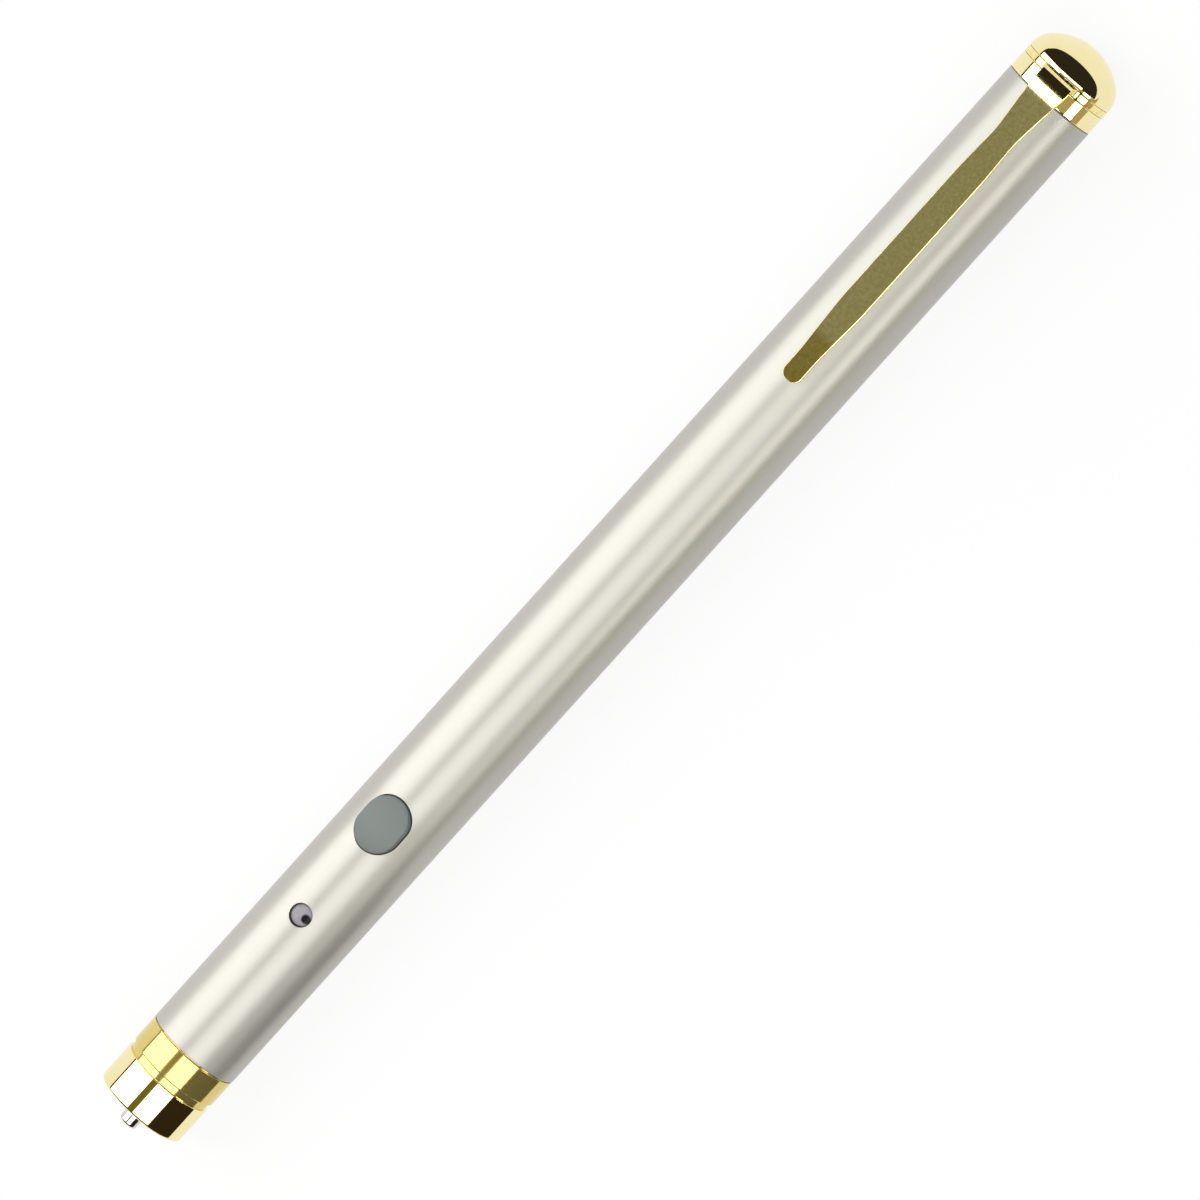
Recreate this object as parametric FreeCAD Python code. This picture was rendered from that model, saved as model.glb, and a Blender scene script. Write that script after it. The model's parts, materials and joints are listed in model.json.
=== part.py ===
import FreeCAD, Part
import math
import os
from FreeCAD import Vector

# Pen-type visual fault locator.
# It is modelled along +X: station 0 is the front nut's front face, the pen's axis is y = z = 0, and
# the power button faces +Z. The last step moves the model to lie on z = 0, centred along X.

# Outside, mm
barrel_radius = 6.3
barrel_wall = 0.8
edge_break = 0.12            # small chamfer on one side of each outside seam

# Fits, mm
press_gap = 0.02             # pressed, screwed or glued pieces
slip_gap = 0.05              # pieces that slide or turn in each other
face_gap = 0.05              # end faces that part when the tail cap is undone
button_gap = 0.1
toe_gap = 0.15               # clip's toe to the barrel

# Straight lengths in a coil's turn, flats round a section, and cone bands along a turned arc
coil_steps = 10
coil_sides = 6
seal_sides = 6
dome_bands = 5
bulge_bands = 4

# Front end
nut_length = 5.3
nut_wall = 1.2
nut_chamfer = 0.35
groove_length = 1.0
groove_depth = 0.3
collar_length = 3.9
collar_spigot_length = 6.0
neck_radius = 4.9
light_path_radius = 1.5
ferrule_radius = 1.25
ferrule_reach = 2.6          # how far it stands out of the nut
ferrule_seat_length = 4.3    # behind its flange, in the collar
ferrule_lead = 0.35
sleeve_radius = 1.7          # metal sleeve that holds the ferrule, flush with the nut's face
sleeve_step = 0.05
flange_radius = 3.2
flange_length = 1.3
fibre_radius = 0.0625

# Laser module
module_radius = 4.2
module_seat = 1.0             # how far the module sits in the collar's front part
module_body_length = 10.8
module_wall = 0.95
holder_length = 3.8
holder_front_gap = 0.4
holder_lip = 0.8
holder_slot = 0.8            # screwdriver slot across its front
lens_radius = 2.45
lens_edge = 1.2
lens_curve = 6.5
focus_turns = 4
focus_wire = 0.35
diode_flange_radius = 2.8
diode_flange_length = 1.2
diode_can_radius = 1.8
diode_can_length = 2.3
diode_can_edge = 0.3
diode_setback = 6.2          # front of its flange ahead of the module's rear end
shoulder_length = 0.8
shoulder_radius = 2.3
lead_radius = 0.225
lead_circle = 1.27
lead_tip = 0.8               # lamp leads below the board
lead_hole_gap = 0.15
long_lead = 8.4
short_lead = 3.0

# Board and its carrier
board_length = 34.9
board_half_width = 4.6
board_thickness = 1.0
board_corner = 0.6
board_top = -0.9             # below the pen's axis
carrier_wall = 1.0
carrier_front_wall = 1.2
bulkhead_length = 2.5
rail_height = 0.6            # above the board's top
contact_head_radius = 2.6
contact_head_length = 0.5
contact_edge = 0.2
contact_radius = 0.85
contact_tail = 2.7           # lies over the board's rear pad

# Lamp, switch and button
led_station = 32.8
led_radius = 1.5
led_flange_radius = 1.9
led_flat = 1.6               # the flange's flat side, from the lamp's axis
led_flange_length = 1.0
led_height = 5.35
led_recess = 0.35            # top of the lamp below the barrel's surface
led_hole_gap = 0.1
led_lead = 0.45              # square wire
button_station = 48.0
button_length = 7.7
button_width = 5.9
button_rise = 0.7
button_crown = 18.0
button_edge = 0.25
button_skirt = 0.8           # how far the hidden skirt reaches past the cap
skirt_bottom = 3.2
button_travel = 0.35
switch_size = 6.0
switch_height = 3.1
switch_corner = 0.4
switch_leg_pitch = 4.2
stem_radius = 1.7
stem_depth = 1.0
leg_width = 0.7
leg_thickness = 0.3
leg_reach = 0.8

# Small parts on the board
chip_station = 39.6
chip_length = 4.9
chip_width = 3.9
chip_height = 1.5
chip_standoff = 0.15
chip_bevel = 0.15
chip_pins = 4
chip_pin_pitch = 1.27
resistor_places = [(36.0, -2.9), (36.0, 2.9), (54.2, -2.9)]
resistor_length = 2.0
resistor_width = 1.25
resistor_height = 0.5
resistor_cap = 0.3
resistor_cap_rise = 0.05
capacitor_place = (54.6, 2.4)
capacitor_length = 3.2
capacitor_width = 1.8
capacitor_height = 1.6
capacitor_bevel = 0.15
leaf_gap = 1.8               # behind the resistor ahead of it
leaf_width = 2.0
leaf_thickness = 0.2
leaf_bend = 0.4
leaf_foot = 2.0
leaf_side = 3.9              # the upright's distance from the pen's axis
leaf_touch_height = 2.2

# Cells
cell_radius = 5.25
cell_length = 44.5
cell_nub_radius = 1.9
cell_nub_length = 0.8
cell_shoulder = 0.5

# Tail cap
plug_length = 2.45
spigot_length = 6.5
thread_lead = 0.35
pocket_radius = 3.95
web_length = 1.95
seal_wire = 0.84
seal_groove_depth = 0.85
seal_groove_length = 1.1
seal_setback = 0.3
stud_radius = 2.5
spring_wire = 0.7
spring_radius = 2.9
spring_turns = 6
spring_length = 12.5         # squeezed between the cells and its seat
seat_thickness = 0.7
seat_boss_radius = 2.3
seat_boss_length = 0.8
seat_boss_edge = 0.3
retainer_length = 0.8
retainer_hole = 3.45
dome_land = 0.2
dome_height = 4.55
dome_shoulder = 3.4          # arc that starts at the dome's rim

# Clip
clip_thickness = 0.95
clip_bend = 0.55             # inside radius of the root bend
clip_root_rise = 2.2         # outer face above the barrel at the root
clip_toe_rise = 1.75         # outer face above the barrel where the toe starts
clip_reach = 48.3            # toe end to the ring's front face
clip_toe_length = 7.2
clip_toe_half = 1.3
clip_blade_half = 1.75
clip_neck_half = 1.5
clip_root_half = 2.25
clip_taper_start = 4.2       # from the toe end
clip_taper_end = 11.5
clip_neck_start = 14.6       # from the ring's front face
clip_neck_end = 8.9
clip_root_start = 1.0
clip_root_fillet = 1.1
clip_edge = 0.22
clip_clock_deg = 4.8         # where the ring stopped when it was clamped

# Stations worked out from the sizes above
bore_radius = barrel_radius - barrel_wall
nut_back = nut_length
collar_front = nut_back + groove_length
barrel_front = collar_front + collar_length
flange_front = nut_wall + press_gap
neck_front = flange_front + flange_length + press_gap
ferrule_back = neck_front + ferrule_seat_length
spigot_back = barrel_front + collar_spigot_length
module_front = barrel_front - module_seat - press_gap
module_back = spigot_back + module_body_length
holder_radius = module_radius - module_wall
holder_front = module_front + holder_front_gap
holder_back = holder_front + holder_length
diode_front = module_back - diode_setback
shoulder_front = diode_front - shoulder_length
carrier_front = module_back + face_gap
board_front = carrier_front + carrier_front_wall + face_gap
board_back = board_front + board_length
leaf_front = resistor_places[-1][0] + resistor_length / 2 + leaf_gap
bulkhead_front = board_back + face_gap
carrier_back = bulkhead_front + bulkhead_length
carrier_radius = bore_radius - slip_gap
cells_front = carrier_back + contact_head_length + press_gap
cells_back = cells_front + 2 * (cell_length + press_gap)
cell_drop = bore_radius - cell_radius - press_gap
seat_front = cells_back + spring_length
seat_back = seat_front + seat_thickness
pocket_floor = seat_back + slip_gap
plug_back = pocket_floor + web_length
plug_front = plug_back - plug_length
barrel_back = plug_front - face_gap      # the barrel is as long as what it holds
spigot_front = plug_front - spigot_length
spigot_radius = bore_radius - slip_gap
clip_front = plug_back + press_gap
clip_back = clip_front + clip_thickness
dome_front = clip_back + press_gap
dome_back = dome_front + dome_land + dome_height


def rounded_wire(corners, point):
    """Closed wire through (u, v, radius) corners; point(u, v) places a corner in space."""
    starts, ends, middles = [], [], []
    for before, here, after in zip(corners[-1:] + corners[:-1], corners, corners[1:] + corners[:1]):
        to_before = Vector(before[0] - here[0], before[1] - here[1], 0).normalize()
        to_after = Vector(after[0] - here[0], after[1] - here[1], 0).normalize()
        corner, radius = Vector(here[0], here[1], 0), here[2]
        if radius == 0:
            starts.append(corner)
            ends.append(corner)
            middles.append(None)
            continue
        half = to_before.getAngle(to_after) / 2
        bisector = (to_before + to_after).normalize()
        starts.append(corner + to_before * (radius / math.tan(half)))
        ends.append(corner + to_after * (radius / math.tan(half)))
        middles.append(corner + bisector * (radius / math.sin(half) - radius))
    edges = []
    for start, middle, end, next_start in zip(starts, middles, ends, starts[1:] + starts[:1]):
        if middle is not None:
            arc = [point(p.x, p.y) for p in (start, middle, end)]
            edges.append(Part.Arc(*arc).toShape())
        if end.distanceToPoint(next_start) > 1e-7:
            edges.append(Part.makeLine(point(end.x, end.y), point(next_start.x, next_start.y)))
    return Part.Wire(edges)


def lathe(corners):
    """Turned solid from (station, radius, rounding) corners."""
    face = Part.Face(rounded_wire(corners, lambda u, v: Vector(u, 0, v)))
    return face.revolve(Vector(0, 0, 0), Vector(1, 0, 0), 360)


def tube(front, back, outer, inner=0.0):
    """Plain turned length, hollow where inner is above 0."""
    return lathe([(front, inner, 0), (front, outer, 0), (back, outer, 0), (back, inner, 0)])


def upright_lathe(station, corners):
    """Turned solid on an upright axis, from (height, radius, rounding) corners."""
    face = Part.Face(rounded_wire(corners, lambda u, v: Vector(station + v, 0, u)))
    return face.revolve(Vector(station, 0, 0), Vector(0, 0, 1), 360)


def bands(middle, out, radius, start_deg, end_deg, steps):
    """Turned arc about (middle, out) as corners of narrow cone bands."""
    corners = []
    for step in range(steps + 1):
        turn = math.radians(start_deg + (end_deg - start_deg) * step / steps)
        corners.append((middle + radius * math.cos(turn), out + radius * math.sin(turn), 0))
    return corners


def box(x_low, x_high, y_low, y_high, z_low, z_high):
    return Part.makeBox(x_high - x_low, y_high - y_low, z_high - z_low, Vector(x_low, y_low, z_low))


def obround(station, length, width, bottom, top):
    """Upright prism with round ends, long along the pen."""
    half, radius = length / 2, width / 2
    corners = [(station - half, -radius, radius), (station + half, -radius, radius),
               (station + half, radius, radius), (station - half, radius, radius)]
    face = Part.Face(rounded_wire(corners, lambda u, v: Vector(u, v, bottom)))
    return face.extrude(Vector(0, 0, top - bottom))


def post(station, across, radius, bottom, top):
    return Part.makeCylinder(radius, top - bottom, Vector(station, across, bottom), Vector(0, 0, 1))


def coil(front, back, radius, wire, turns):
    """Spring of round wire along the pen, drawn as short straight lengths of many-sided wire."""
    rise = (back - front - wire) / (turns * coil_steps)
    sections = []
    for step in range(turns * coil_steps + 1):
        turn = 2 * math.pi * step / coil_steps
        corners = []
        for side in range(coil_sides):
            roll = 2 * math.pi * (side + 0.5) / coil_sides
            reach = radius + wire / 2 * math.cos(roll)
            station = front + wire / 2 + rise * step + wire / 2 * math.sin(roll)
            corners.append(Vector(station, reach * math.sin(turn), reach * math.cos(turn)))
        sections.append(Part.makePolygon(corners + corners[:1]))
    return Part.makeLoft(sections, True, True)


def strip_corners(path, thickness):
    """Outline of a sheet's edge from its middle line of (u, v, bend radius) points."""
    left, right = [], []
    for index, (u, v, radius) in enumerate(path):
        here = Vector(u, v, 0)
        before = here - Vector(*path[index - 1][:2], 0) if index > 0 else None
        after = Vector(*path[index + 1][:2], 0) - here if index < len(path) - 1 else None
        before = (before or after).normalize()
        after = (after or before).normalize()
        normal = (Vector(-before.y, before.x, 0) + Vector(-after.y, after.x, 0)).normalize()
        reach = thickness / 2 / normal.dot(Vector(-after.y, after.x, 0))
        turn = before.cross(after).z
        side = math.copysign(thickness / 2, turn) if radius else 0
        left.append((u + normal.x * reach, v + normal.y * reach, radius - side))
        right.append((u - normal.x * reach, v - normal.y * reach, radius + side))
    return left + right[::-1]


# Outside pieces

def make_barrel():
    barrel = tube(barrel_front, barrel_back, barrel_radius, bore_radius)
    hole = obround(button_station, button_length + 2 * button_gap, button_width + 2 * button_gap,
                   0, 2 * barrel_radius)
    lamp_hole = post(led_station, 0, led_radius + led_hole_gap, 0, 2 * barrel_radius)
    return barrel.cut(hole).cut(lamp_hole)


def make_front_nut():
    hole = sleeve_radius + slip_gap
    cavity = neck_radius + press_gap
    return lathe([(0, hole, 0), (0, barrel_radius - nut_chamfer, 0), (nut_chamfer, barrel_radius, 0),
                  (nut_back, barrel_radius, 0), (nut_back, cavity, 0), (nut_wall, cavity, 0),
                  (nut_wall, hole, 0)])


def make_front_collar():
    pocket = module_radius + press_gap
    floor = barrel_radius - groove_depth
    bore = sleeve_radius + press_gap
    return lathe([(neck_front, bore, 0), (neck_front, neck_radius, 0), (nut_back, neck_radius, 0),
                  (nut_back, floor, 0), (collar_front, floor, 0), (collar_front, barrel_radius, 0),
                  (barrel_front - edge_break, barrel_radius, 0),
                  (barrel_front, barrel_radius - edge_break, 0), (barrel_front, bore_radius - press_gap, 0),
                  (spigot_back, bore_radius - press_gap, 0), (spigot_back, pocket, 0),
                  (module_front - press_gap, pocket, 0), (module_front - press_gap, light_path_radius, 0),
                  (ferrule_back + press_gap, light_path_radius, 0), (ferrule_back + press_gap, bore, 0)])


def make_ferrule():
    bore = fibre_radius + press_gap
    flange_back = flange_front + flange_length
    return lathe([(-ferrule_reach, bore, 0), (-ferrule_reach, ferrule_radius - ferrule_lead, 0),
                  (ferrule_lead - ferrule_reach, ferrule_radius, 0), (-sleeve_step, ferrule_radius, 0),
                  (-sleeve_step, sleeve_radius, 0), (flange_front, sleeve_radius, 0),
                  (flange_front, flange_radius, 0), (flange_back, flange_radius, 0),
                  (flange_back, sleeve_radius, 0), (ferrule_back, sleeve_radius, 0),
                  (ferrule_back, bore, 0)])


def make_fibre_stub():
    return tube(-ferrule_reach, ferrule_back, fibre_radius)


def make_power_button():
    bottom, top = skirt_bottom, barrel_radius + button_rise
    cap = obround(button_station, button_length, button_width, bottom, top)
    skirt = obround(button_station, button_length + 2 * button_skirt, button_width + 2 * button_skirt,
                    bottom, bore_radius)
    inside = tube(button_station - button_length, button_station + button_length, bore_radius - button_gap)
    crown = Part.makeCylinder(button_crown, 2 * button_width,
                              Vector(button_station, -button_width, top - button_crown), Vector(0, 1, 0))
    cap = cap.common(crown)
    cap = cap.makeChamfer(button_edge, [edge for edge in cap.Edges if edge.CenterOfMass.z > barrel_radius])
    return cap.fuse(skirt.common(inside)).removeSplitter()


def make_status_led():
    top = barrel_radius - led_recess
    bottom = top - led_height
    flange_top = bottom + led_flange_length
    lamp = upright_lathe(led_station, [(bottom, 0, 0), (bottom, led_flange_radius, 0),
                                       (flange_top, led_flange_radius, 0), (flange_top, led_radius, 0)]
                         + bands(top - led_radius, 0, led_radius, 90, 0, dome_bands))
    lamp = lamp.cut(box(led_station - 2 * led_flange_radius, led_station - led_flat, -led_flange_radius,
                        led_flange_radius, bottom, flange_top))
    for side in (-1, 1):
        station = led_station + side * lead_circle
        lamp = lamp.fuse(box(station - led_lead / 2, station + led_lead / 2, -led_lead / 2, led_lead / 2,
                             board_top - board_thickness - lead_tip, bottom))
    return lamp.removeSplitter()


# Optics and laser

def make_module_housing():
    rear = diode_flange_radius + press_gap
    thread = holder_radius
    skirt = bore_radius - slip_gap
    return lathe([(module_front, thread, 0), (module_front, module_radius, 0),
                  (spigot_back, module_radius, 0), (spigot_back, skirt, 0), (module_back, skirt, 0),
                  (module_back, rear, 0), (diode_front, rear, 0), (diode_front, shoulder_radius, 0),
                  (shoulder_front, shoulder_radius, 0), (shoulder_front, thread, 0)])


def make_lens_holder():
    outer = holder_radius - press_gap
    pocket = lens_radius + press_gap
    ring = lathe([(holder_front, light_path_radius, 0), (holder_front, outer, 0), (holder_back, outer, 0),
                  (holder_back, pocket, 0), (holder_front + holder_lip, pocket, 0),
                  (holder_front + holder_lip, light_path_radius, 0)])
    key = box(holder_front, holder_front + holder_lip / 2, -outer, outer, -holder_slot / 2, holder_slot / 2)
    return ring.cut(key)


def make_focus_lens():
    front = holder_front + holder_lip + press_gap
    middle = front + lens_edge - math.sqrt(lens_curve ** 2 - lens_radius ** 2)
    rim_deg = math.degrees(math.asin(lens_radius / lens_curve))
    return lathe([(front, 0, 0), (front, lens_radius, 0)]
                 + bands(middle, 0, lens_curve, rim_deg, 0, bulge_bands))


def make_focus_spring():
    radius = (diode_can_radius + holder_radius) / 2 + focus_wire / 2
    return coil(holder_back, shoulder_front, radius, focus_wire, focus_turns)


def make_laser_diode():
    front = diode_front + press_gap
    can_front = front - diode_can_length
    can = lathe([(can_front, 0, 0), (can_front, diode_can_radius - diode_can_edge, 0),
                 (can_front + diode_can_edge, diode_can_radius, 0),
                 (front, diode_can_radius, 0), (front, diode_flange_radius, 0),
                 (front + diode_flange_length, diode_flange_radius, 0), (front + diode_flange_length, 0, 0)])
    back = front + diode_flange_length
    for degrees, length in ((-30, long_lead), (-150, long_lead), (90, short_lead)):
        across = lead_circle * math.cos(math.radians(degrees))
        height = lead_circle * math.sin(math.radians(degrees))
        lead = Part.makeCylinder(lead_radius, length, Vector(back, across, height), Vector(1, 0, 0))
        can = can.fuse(lead)
    return can.removeSplitter()


# Board, switch and contacts

def make_board_carrier():
    ledge = board_top - board_thickness - press_gap
    rail = board_top + rail_height
    span = (carrier_front, bulkhead_front)
    trough = tube(*span, carrier_radius)
    trough = trough.cut(box(*span, -carrier_radius, carrier_radius, rail, carrier_radius))
    trough = trough.cut(box(board_front - face_gap, bulkhead_front, -board_half_width - press_gap,
                            board_half_width + press_gap, ledge, rail))
    trough = trough.cut(box(carrier_front, board_front - face_gap, -board_half_width - press_gap,
                            board_half_width + press_gap, board_top, rail))
    under = tube(board_front, bulkhead_front - carrier_wall, carrier_radius - carrier_wall)
    under = under.common(box(carrier_front, carrier_back, -carrier_radius, carrier_radius,
                             -carrier_radius, ledge))
    bulkhead = tube(bulkhead_front, carrier_back, carrier_radius, contact_radius + press_gap)
    return trough.cut(under).fuse(bulkhead).removeSplitter()


def make_circuit_board():
    bottom = board_top - board_thickness
    board = box(board_front, board_back, -board_half_width, board_half_width, bottom, board_top)
    corners = [edge for edge in board.Edges if abs(edge.tangentAt(edge.FirstParameter).z) > 0.9]
    board = board.makeChamfer(board_corner, corners)
    for side in (-1, 1):
        board = board.cut(post(led_station + side * lead_circle, 0, lead_radius + lead_hole_gap, bottom,
                               board_top))
    return board


def make_driver_chip():
    bottom = board_top + press_gap
    half_length, half_width = chip_length / 2, chip_width / 2
    chip = box(chip_station - half_length, chip_station + half_length, -half_width, half_width,
               bottom + chip_standoff, bottom + chip_height)
    chip = chip.makeChamfer(chip_bevel, [edge for edge in chip.Edges if edge.CenterOfMass.z > 0])
    for pin in range(chip_pins):
        station = chip_station + (pin - (chip_pins - 1) / 2) * chip_pin_pitch
        for side in (-1, 1):
            reach = sorted((side * (half_width - leg_thickness), side * (half_width + leg_reach)))
            chip = chip.fuse(box(station - leg_thickness / 2, station + leg_thickness / 2, *reach,
                                 bottom, bottom + leg_thickness))
    return chip.removeSplitter()


def make_resistor(place):
    station, across = place
    bottom, half = board_top + press_gap, resistor_length / 2
    side = resistor_width / 2
    body = box(station - half, station + half, across - side, across + side, bottom,
               bottom + resistor_height - resistor_cap_rise)
    for end in (station - half, station + half - resistor_cap):
        body = body.fuse(box(end, end + resistor_cap, across - side, across + side, bottom,
                             bottom + resistor_height))
    return body.removeSplitter()


def make_capacitor():
    station, across = capacitor_place
    bottom = board_top + press_gap
    body = box(station - capacitor_length / 2, station + capacitor_length / 2, across - capacitor_width / 2,
               across + capacitor_width / 2, bottom, bottom + capacitor_height)
    return body.makeChamfer(capacitor_bevel, [edge for edge in body.Edges if edge.CenterOfMass.z > bottom])


def make_ground_leaf():
    foot = board_top + press_gap + leaf_thickness / 2
    wall = bore_radius - leaf_thickness / 2 - press_gap
    touch_side = math.sqrt(wall ** 2 - leaf_touch_height ** 2)
    path = [(-leaf_foot, foot, 0), (-leaf_side, foot, leaf_bend),
            (-leaf_side, leaf_touch_height - leaf_bend, leaf_bend), (-touch_side, leaf_touch_height, 0)]
    face = Part.Face(rounded_wire(strip_corners(path, leaf_thickness),
                                  lambda u, v: Vector(leaf_front, u, v)))
    return face.extrude(Vector(leaf_width, 0, 0))


def make_switch_body():
    half = switch_size / 2
    bottom, top = board_top + press_gap, board_top + switch_height
    body = box(button_station - half, button_station + half, -half, half, bottom, top)
    edges = [edge for edge in body.Edges if abs(edge.tangentAt(edge.FirstParameter).z) > 0.9]
    body = body.makeChamfer(switch_corner, edges)
    for along in (-1, 1):
        station = button_station + along * switch_leg_pitch / 2
        for side in (-1, 1):
            reach = sorted((side * (half - leg_width), side * (half + leg_reach)))
            body = body.fuse(box(station - leg_width / 2, station + leg_width / 2, *reach, bottom,
                                 bottom + leg_thickness))
    well = top - stem_depth - button_travel - button_gap
    return body.removeSplitter().cut(post(button_station, 0, stem_radius + slip_gap, well, top))


def make_switch_stem():
    top = board_top + switch_height
    return post(button_station, 0, stem_radius, top - stem_depth, skirt_bottom)


def make_positive_contact():
    return lathe([(bulkhead_front - contact_tail, 0, 0), (bulkhead_front - contact_tail, contact_radius, 0),
                  (carrier_back, contact_radius, 0), (carrier_back, contact_head_radius, 0),
                  (carrier_back + contact_head_length - contact_edge, contact_head_radius, 0),
                  (carrier_back + contact_head_length, contact_head_radius - contact_edge, 0),
                  (carrier_back + contact_head_length, 0, 0)])


def make_battery(front):
    body = front + cell_nub_length
    back = front + cell_length
    crimp = cell_radius - cell_shoulder
    cell = lathe([(front, 0, 0), (front, cell_nub_radius, 0), (body, cell_nub_radius, 0), (body, crimp, 0),
                  (body + cell_shoulder, cell_radius, 0), (back, cell_radius, 0), (back, 0, 0)])
    cell.translate(Vector(0, 0, -cell_drop))
    return cell


# Tail cap

def make_tail_plug():
    groove_back = plug_front - face_gap - seal_setback
    groove_front = groove_back - seal_groove_length
    groove = spigot_radius - seal_groove_depth
    return lathe([(spigot_front, pocket_radius, 0), (spigot_front, spigot_radius - thread_lead, 0),
                  (spigot_front + thread_lead, spigot_radius, 0), (groove_front, spigot_radius, 0),
                  (groove_front, groove, 0), (groove_back, groove, 0), (groove_back, spigot_radius, 0),
                  (plug_front, spigot_radius, 0), (plug_front, barrel_radius - edge_break, 0),
                  (plug_front + edge_break, barrel_radius, 0), (plug_back - edge_break, barrel_radius, 0),
                  (plug_back, barrel_radius - edge_break, 0), (plug_back, stud_radius + press_gap, 0),
                  (pocket_floor, stud_radius + press_gap, 0), (pocket_floor, pocket_radius, 0)])


def make_tail_seal():
    """Rubber ring, drawn as a many-sided section turned round the spigot's groove."""
    middle = plug_front - face_gap - seal_setback - seal_groove_length / 2
    ring_radius = spigot_radius - seal_groove_depth + seal_wire / 2
    corners = []
    for side in range(seal_sides):
        roll = 2 * math.pi * (side + 0.5) / seal_sides
        corners.append((middle + seal_wire / 2 * math.sin(roll),
                        ring_radius + seal_wire / 2 * math.cos(roll), 0))
    return lathe(corners)


def make_spring_seat():
    outer, nose = pocket_radius - slip_gap, seat_front - seat_boss_length
    return lathe([(nose, 0, 0), (nose, seat_boss_radius - seat_boss_edge, 0),
                  (nose + seat_boss_edge, seat_boss_radius, 0), (seat_front, seat_boss_radius, 0),
                  (seat_front, outer, 0), (seat_back, outer, 0), (seat_back, 0, 0)])


def make_seat_retainer():
    back = seat_front - slip_gap
    return tube(back - retainer_length, back, pocket_radius - press_gap, retainer_hole)


def make_battery_spring():
    return coil(cells_back, seat_front, spring_radius, spring_wire, spring_turns)


def make_tail_dome():
    base, root = dome_front + dome_land, pocket_floor + face_gap
    # A tight shoulder arc meets a wide crown arc centred on the pen's axis
    shoulder_out = barrel_radius - dome_shoulder
    crown = (dome_height ** 2 + barrel_radius ** 2 - 2 * barrel_radius * dome_shoulder) / 2
    crown = crown / (dome_height - dome_shoulder)
    crown_middle = dome_back - crown
    joint_deg = math.degrees(math.atan2(shoulder_out, base - crown_middle))
    return lathe([(root, 0, 0), (root, stud_radius, 0), (dome_front, stud_radius, 0),
                  (dome_front, barrel_radius - edge_break, 0), (dome_front + edge_break, barrel_radius, 0)]
                 + bands(base, shoulder_out, dome_shoulder, 90, joint_deg, dome_bands)
                 + bands(crown_middle, 0, crown, joint_deg, 0, dome_bands)[1:])


def make_clip_blade():
    """Sheet that rises out of the ring, turns over and runs to the toe, trimmed to its outline."""
    half = clip_thickness / 2
    toe_end = clip_front - clip_reach
    toe_height = barrel_radius + toe_gap + half
    blade_height = barrel_radius + clip_toe_rise - half
    slope = (blade_height - toe_height) / clip_toe_length
    path = [(clip_front + half, barrel_radius - clip_thickness, 0),
            (clip_front + half, barrel_radius + clip_root_rise - half, clip_bend + half),
            (toe_end + clip_toe_length, blade_height, 3 * clip_toe_length),
            (toe_end - clip_thickness, toe_height - slope * clip_thickness, 0)]
    side = Part.Face(rounded_wire(strip_corners(path, clip_thickness),
                                  lambda u, v: Vector(u, -2 * clip_root_half, v)))
    sheet = side.extrude(Vector(0, 4 * clip_root_half, 0))
    upper = [(toe_end, clip_toe_half, clip_toe_half * 0.85),
             (toe_end + clip_taper_start, clip_toe_half, 2 * clip_taper_end),
             (toe_end + clip_taper_end, clip_blade_half, 2 * clip_taper_end),
             (clip_front - clip_neck_start, clip_blade_half, 2 * clip_taper_end),
             (clip_front - clip_neck_end, clip_neck_half, clip_taper_end),
             (clip_front - clip_root_start, clip_root_half, 2 * clip_root_half),
             (clip_back + half, clip_root_half, 0)]
    corners = upper + [(u, -v, radius) for u, v, radius in reversed(upper)]
    outline = Part.Face(rounded_wire(corners, lambda u, v: Vector(u, v, 0)))
    blade = sheet.common(outline.extrude(Vector(0, 0, 2 * barrel_radius)))
    rims = [edge for edge in blade.Edges
            if abs(edge.tangentAt(edge.FirstParameter).y) < 0.9 or edge.CenterOfMass.x < toe_end + half]
    rims = [edge for edge in rims if edge.CenterOfMass.z > barrel_radius - clip_thickness + edge_break]
    return blade.makeChamfer(clip_edge, rims)


def make_clip_gusset():
    """Flared foot that joins the riser to the ring with two hollow corners."""
    side = clip_root_half + clip_root_fillet
    height = math.sqrt((barrel_radius + clip_root_fillet) ** 2 - side ** 2)
    centre = Vector(clip_front, side, height)
    on_ring = centre - Vector(0, side, height).normalize() * clip_root_fillet
    on_riser = centre - Vector(0, clip_root_fillet, 0)
    inward = (on_ring + on_riser) / 2 - centre
    middle = centre + inward.normalize() * clip_root_fillet
    mirror = [Vector(p.x, -p.y, p.z) for p in (on_ring, middle, on_riser)]
    edges = [Part.Arc(on_ring, middle, on_riser).toShape(), Part.makeLine(on_riser, mirror[2]),
             Part.Arc(*reversed(mirror)).toShape(), Part.makeLine(mirror[0], on_ring)]
    return Part.Face(Part.Wire(edges)).extrude(Vector(clip_thickness, 0, 0))


def make_clip():
    ring = tube(clip_front, clip_back, barrel_radius, stud_radius + slip_gap)
    clip = ring.fuse([make_clip_gusset(), make_clip_blade()]).removeSplitter()
    clip.rotate(Vector(0, 0, 0), Vector(1, 0, 0), clip_clock_deg)
    return clip


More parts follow.
